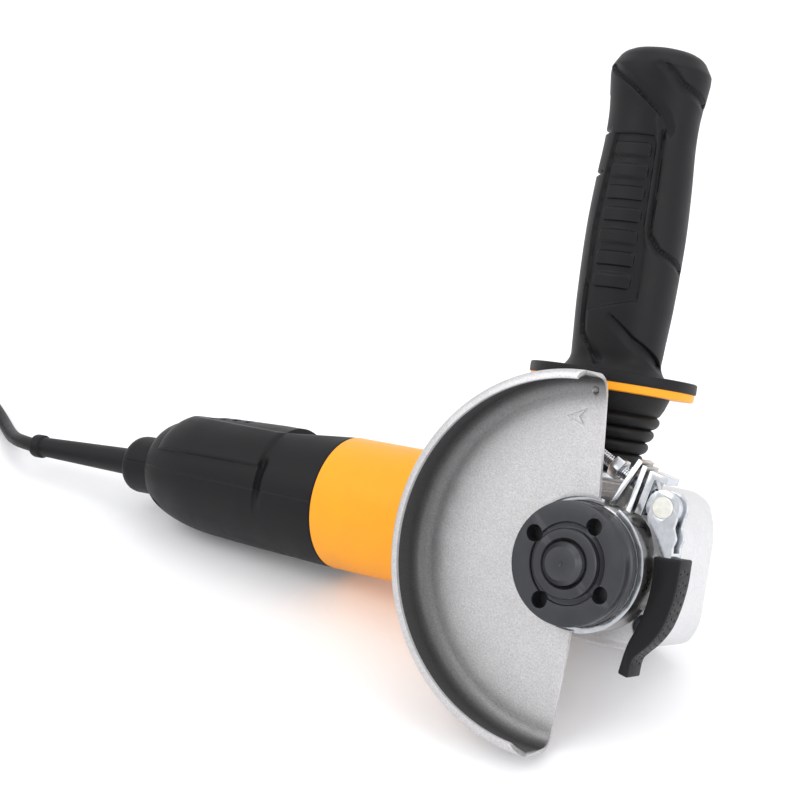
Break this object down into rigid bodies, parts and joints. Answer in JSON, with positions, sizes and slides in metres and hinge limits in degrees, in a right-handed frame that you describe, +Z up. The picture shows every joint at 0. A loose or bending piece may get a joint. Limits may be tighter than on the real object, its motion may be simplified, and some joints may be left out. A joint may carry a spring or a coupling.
{
  "type": "angle grinder",
  "caption": "Corded angle grinder with bevel gear head, side handle, half-round disc guard on a quick-release clamp, flanged locknut and coiled mains lead.",
  "frame": {"origin": "centre of the footprint of the tool without its lead, on the bench that it lies on", "axes": "+Z up from the bench; +X forward towards the gear head, level along the tool; -Y the side that the spindle and the guard face"},
  "size_m": [0.4797, 0.158, 0.2005],
  "materials": {
    "cast_aluminium": "blasted casting",
    "yellow_plastic": "fine textured moulding",
    "black_plastic": "fine textured moulding",
    "black_rubber": "matt rubber",
    "black_steel": "blackened steel",
    "bright_steel": "ground steel",
    "guard_steel": "blasted and plated sheet",
    "zinc_plate": "bright zinc plate",
    "copper": "enamelled wire",
    "brass": "satin",
    "laminated_steel": "stacked sheets",
    "carbon": "pressed carbon"
  },
  "bodies": {
    "tool": {"gear_housing": "cast_aluminium", "bearing_flange": "cast_aluminium", "flange_screws": "black_steel", "housing_screws": "black_steel", "motor_housing": "yellow_plastic", "rear_shell_upper": "black_plastic", "rear_shell_lower": "black_plastic", "shell_screws": "black_steel", "spindle_bearing_outer": "bright_steel", "spindle_seal": "black_rubber", "spindle_bush": "brass", "front_bearing_outer": "bright_steel", "rear_bearing_outer": "bright_steel", "rear_bearing_sleeve": "black_rubber", "stator_core": "laminated_steel", "stator_windings": "copper", "brush_holders": "brass", "carbon_brushes": "carbon", "brush_springs": "bright_steel", "switch_block": "black_plastic", "lock_spring": "bright_steel", "handle_stud": "bright_steel", "handle_grip": "black_rubber", "handle_disc": "black_plastic", "handle_ring": "yellow_plastic", "handle_boot": "black_rubber", "cord_clamp": "black_plastic", "strain_relief": "black_rubber", "cord_tube": "black_rubber", "cord_coil": "black_rubber", "cord_end": "black_rubber", "plug_body": "black_plastic", "plug_pins": "brass"},
    "spindle": {"spindle": "black_steel", "driven_gear": "bright_steel", "spindle_bearing_inner": "bright_steel", "spindle_bearing_balls": "bright_steel", "inner_flange": "black_steel", "locknut": "black_steel"},
    "armature": {"armature_shaft": "bright_steel", "bevel_pinion": "bright_steel", "armature_core": "laminated_steel", "armature_windings": "copper", "commutator": "copper", "cooling_fan": "black_plastic", "front_bearing_inner": "bright_steel", "rear_bearing_inner": "bright_steel", "armature_bearing_balls": "bright_steel"},
    "guard": {"guard_shell": "guard_steel", "clamp_band": "zinc_plate", "clamp_screw": "zinc_plate", "clamp_nut": "zinc_plate", "clamp_saddle": "zinc_plate"},
    "lever": {"lever_arm": "zinc_plate", "lever_pin": "zinc_plate", "lever_sleeve": "black_rubber"},
    "lock_button": {"lock_button": "black_plastic"},
    "switch": {"switch_slider": "black_plastic", "switch_link": "bright_steel"}
  },
  "joints": [
    {"name": "armature_spin", "type": "hinge", "parent": "tool", "child": "armature", "pos_m": [0.06878, 0, 0.03309], "axis": [0.9971, 0, 0.0767], "continuous": true},
    {"name": "spindle_spin", "type": "hinge", "parent": "tool", "child": "spindle", "pos_m": [0.12762, -0.02714, 0.05043], "axis": [-0.0327, -0.9048, 0.4245], "continuous": true},
    {"name": "guard_turn", "type": "hinge", "parent": "tool", "child": "guard", "pos_m": [0.12746, -0.03167, 0.05255], "axis": [-0.0327, -0.9048, 0.4245], "range_deg": [-90, 30]},
    {"name": "lever_release", "type": "hinge", "parent": "guard", "child": "lever", "pos_m": [0.14857, -0.01909, 0.07273], "axis": [-0.0327, -0.9048, 0.4245], "range_deg": [0, 95]},
    {"name": "lock_press", "type": "slide", "parent": "tool", "child": "lock_button", "axis": [-0.0327, -0.9048, 0.4245], "range_m": [0, 0.004], "stiffness_N_per_m": 600, "springref_m": -0.002, "deforming": ["lock_spring"]},
    {"name": "switch_slide", "type": "slide", "parent": "tool", "child": "switch", "axis": [0.9971, 0, 0.0767], "range_m": [0, 0.006]}
  ],
  "couplings": [
    {"joint": "spindle_spin", "follows": "armature_spin", "ratio": 0.27778}
  ]
}
